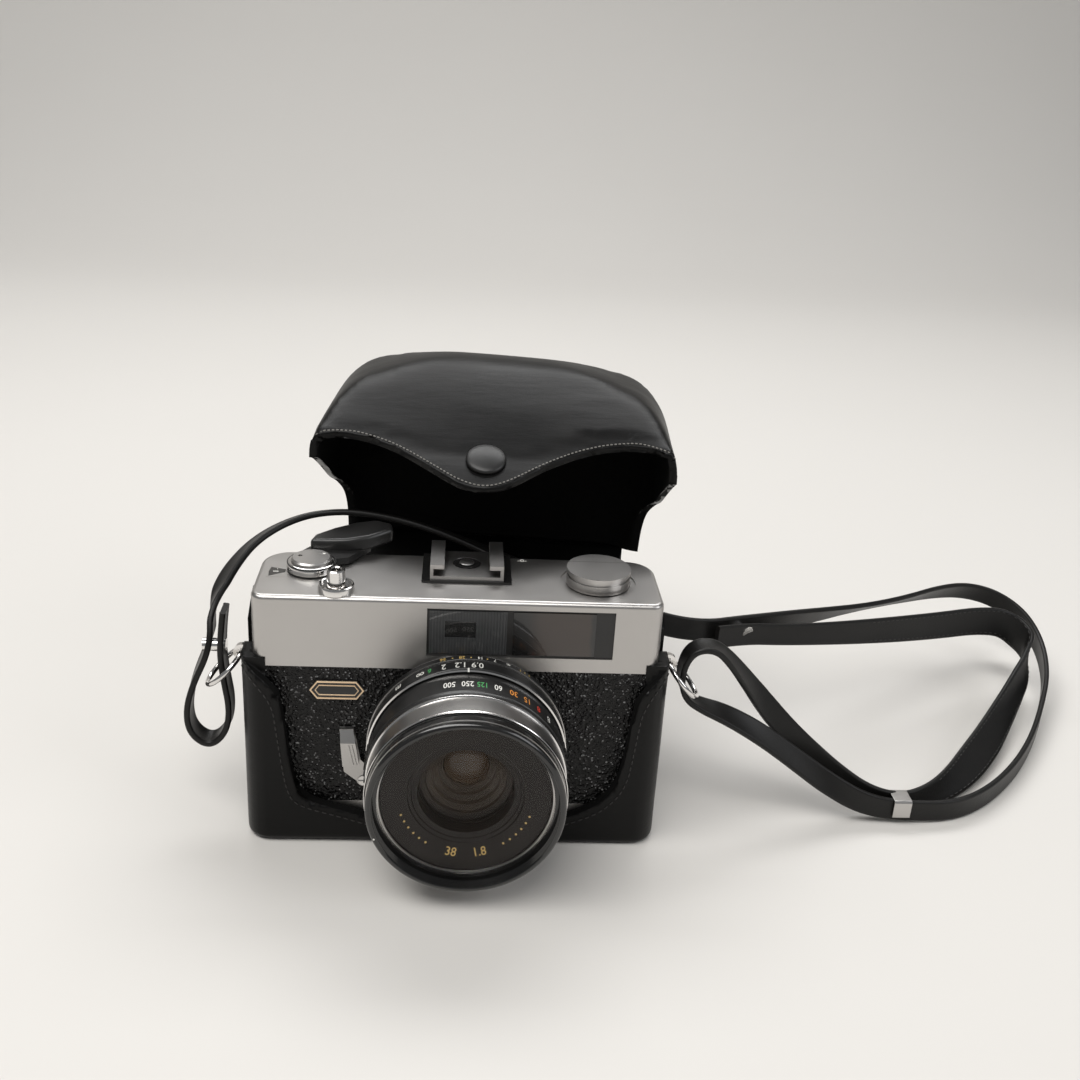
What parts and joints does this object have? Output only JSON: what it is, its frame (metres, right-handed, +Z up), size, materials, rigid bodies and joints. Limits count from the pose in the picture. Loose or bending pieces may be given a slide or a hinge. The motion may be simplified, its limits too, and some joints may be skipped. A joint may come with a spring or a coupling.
{
  "type": "35 mm rangefinder camera in half case",
  "caption": "Compact fixed-lens rangefinder camera sitting in a leather half case, hood open behind it, with a looped neck strap lying to one side.",
  "frame": {"origin": "mouth of the tripod socket in the case's base screw, on the table", "axes": "+X to the right of someone facing the lens, +Y from the lens towards the back of the body, +Z up"},
  "size_m": [0.2994, 0.16, 0.1211],
  "materials": {
    "satin_chrome": "fine satin chrome plating",
    "bright_chrome": "polished chrome plating",
    "machined_metal": "turned and milled, plain",
    "brass": "plain brass",
    "black_enamel": "satin black enamel with engraved marks",
    "black_plastic": "moulded black plastic",
    "body_covering": "pebbled black covering",
    "case_leather": "worn glossy black case leather",
    "strap_leather": "stitched black strap leather",
    "clear_glass": "clear",
    "coated_glass": "coated lens glass with an amber reflection",
    "frosted_panel": "ribbed frosted light panel with a dark window",
    "silvered_glass": "front-silvered"
  },
  "bodies": {
    "camera": {"chassis": "machined_metal", "top_deck": "machined_metal", "top_cover": "satin_chrome", "bottom_cover": "satin_chrome", "leatherette": "body_covering", "back_door": "body_covering", "pressure_plate": "black_enamel", "tripod_bush": "brass", "battery": "bright_chrome", "battery_cover": "satin_chrome", "window_bezel": "black_enamel", "frosted_panel": "frosted_panel", "finder_windows": "clear_glass", "finder_housing": "black_enamel", "rangefinder_mirror": "silvered_glass", "beam_splitter": "silvered_glass", "eyepiece_frame": "black_plastic", "eyepiece_glass": "clear_glass", "counter_window": "clear_glass", "shutter_collar": "bright_chrome", "button_spring": "machined_metal", "shoe_block": "black_plastic", "accessory_shoe": "satin_chrome", "flash_contact": "black_plastic", "lens_tube": "machined_metal", "front_barrel": "black_enamel", "front_trim_ring": "black_enamel", "filter_ring": "black_enamel", "filter_glass": "clear_glass", "front_element": "coated_glass", "rear_element": "coated_glass", "shutter_housing": "machined_metal", "shutter_blades": "black_enamel", "front_plate": "black_enamel", "case_shell": "case_leather", "case_snap_stud": "bright_chrome", "strap_lugs": "bright_chrome", "strap_rings": "bright_chrome", "strap": "strap_leather", "strap_rivets": "bright_chrome", "strap_keeper": "bright_chrome"},
    "wind_lever_group": {"wind_lever": "bright_chrome", "wind_lever_grip": "black_plastic", "wind_disc": "satin_chrome"},
    "takeup": {"takeup_spool": "black_plastic"},
    "sprocket": {"sprocket_shaft": "machined_metal"},
    "counter": {"counter_dial": "black_enamel"},
    "release_button": {"shutter_button": "bright_chrome"},
    "rewind_release": {"rewind_catch": "bright_chrome"},
    "rewind": {"rewind_knob": "bright_chrome"},
    "crank": {"rewind_crank": "satin_chrome"},
    "guide_ring": {"guide_number_ring": "black_enamel"},
    "distance_ring": {"focus_ring": "black_enamel"},
    "shutter_speed_ring": {"speed_ring": "black_enamel"},
    "self_timer": {"self_timer_lever": "bright_chrome", "self_timer_screw": "bright_chrome"},
    "base_screw": {"case_screw": "bright_chrome"},
    "hood": {"hood_shell": "case_leather", "hood_snap_cap": "black_enamel", "hood_neck": "case_leather"}
  },
  "joints": [
    {"name": "wind_lever_swing", "type": "hinge", "parent": "camera", "child": "wind_lever_group", "pos_m": [-0.0415, 0.003, 0.079], "axis": [0, 0, 1], "range_deg": [0, 132]},
    {"name": "takeup_spool_turn", "type": "hinge", "parent": "camera", "child": "takeup", "pos_m": [-0.0415, 0.003, 0.03], "axis": [0, 0, 1], "range_deg": [0, 238]},
    {"name": "sprocket_turn", "type": "hinge", "parent": "camera", "child": "sprocket", "pos_m": [-0.0229, 0.003, 0.03], "axis": [0, 0, 1], "range_deg": [0, 361]},
    {"name": "counter_dial_turn", "type": "hinge", "parent": "camera", "child": "counter", "pos_m": [-0.0415, 0.003, 0.075], "axis": [0, 0, 1], "range_deg": [0, 10]},
    {"name": "shutter_button_press", "type": "slide", "parent": "camera", "child": "release_button", "axis": [0, 0, -1], "range_m": [0, 0.002], "stiffness_N_per_m": 500, "springref_m": -0.001, "deforming": ["button_spring"]},
    {"name": "rewind_release_press", "type": "slide", "parent": "camera", "child": "rewind_release", "axis": [0, 0, 1], "range_m": [0, 0.0012], "stiffness_N_per_m": 400, "springref_m": -0.0008},
    {"name": "rewind_knob_turn", "type": "hinge", "parent": "camera", "child": "rewind", "pos_m": [0.0387, -0.0002, 0.079], "axis": [0, 0, 1], "continuous": true},
    {"name": "rewind_crank_fold", "type": "hinge", "parent": "rewind", "child": "crank", "pos_m": [0.0387, 0.0034, 0.0814], "axis": [-1, 0, 0], "range_deg": [0, 120]},
    {"name": "guide_ring_turn", "type": "hinge", "parent": "camera", "child": "guide_ring", "pos_m": [0.0032, 0, 0.033], "axis": [0, -1, 0], "range_deg": [-30, 30]},
    {"name": "focus_ring_turn", "type": "hinge", "parent": "camera", "child": "distance_ring", "pos_m": [0.0032, 0, 0.033], "axis": [0, -1, 0], "range_deg": [0, 75]},
    {"name": "speed_ring_turn", "type": "hinge", "parent": "camera", "child": "shutter_speed_ring", "pos_m": [0.0032, 0, 0.033], "axis": [0, -1, 0], "range_deg": [-40, 40]},
    {"name": "self_timer_swing", "type": "hinge", "parent": "camera", "child": "self_timer", "pos_m": [-0.0256, -0.016, 0.0207], "axis": [0, -1, 0], "range_deg": [0, 75]},
    {"name": "base_screw_turn", "type": "hinge", "parent": "camera", "child": "base_screw", "pos_m": [0, 0, 0.005], "axis": [0, 0, 1], "continuous": true},
    {"name": "hood_swing", "type": "hinge", "parent": "camera", "child": "hood", "pos_m": [0, 0.019, 0.01], "axis": [1, 0, 0], "range_deg": [-30, 15]}
  ],
  "couplings": [
    {"joint": "takeup_spool_turn", "follows": "wind_lever_swing", "ratio": 1.79},
    {"joint": "sprocket_turn", "follows": "wind_lever_swing", "ratio": 2.7273},
    {"joint": "counter_dial_turn", "follows": "wind_lever_swing", "ratio": 0.0718}
  ]
}
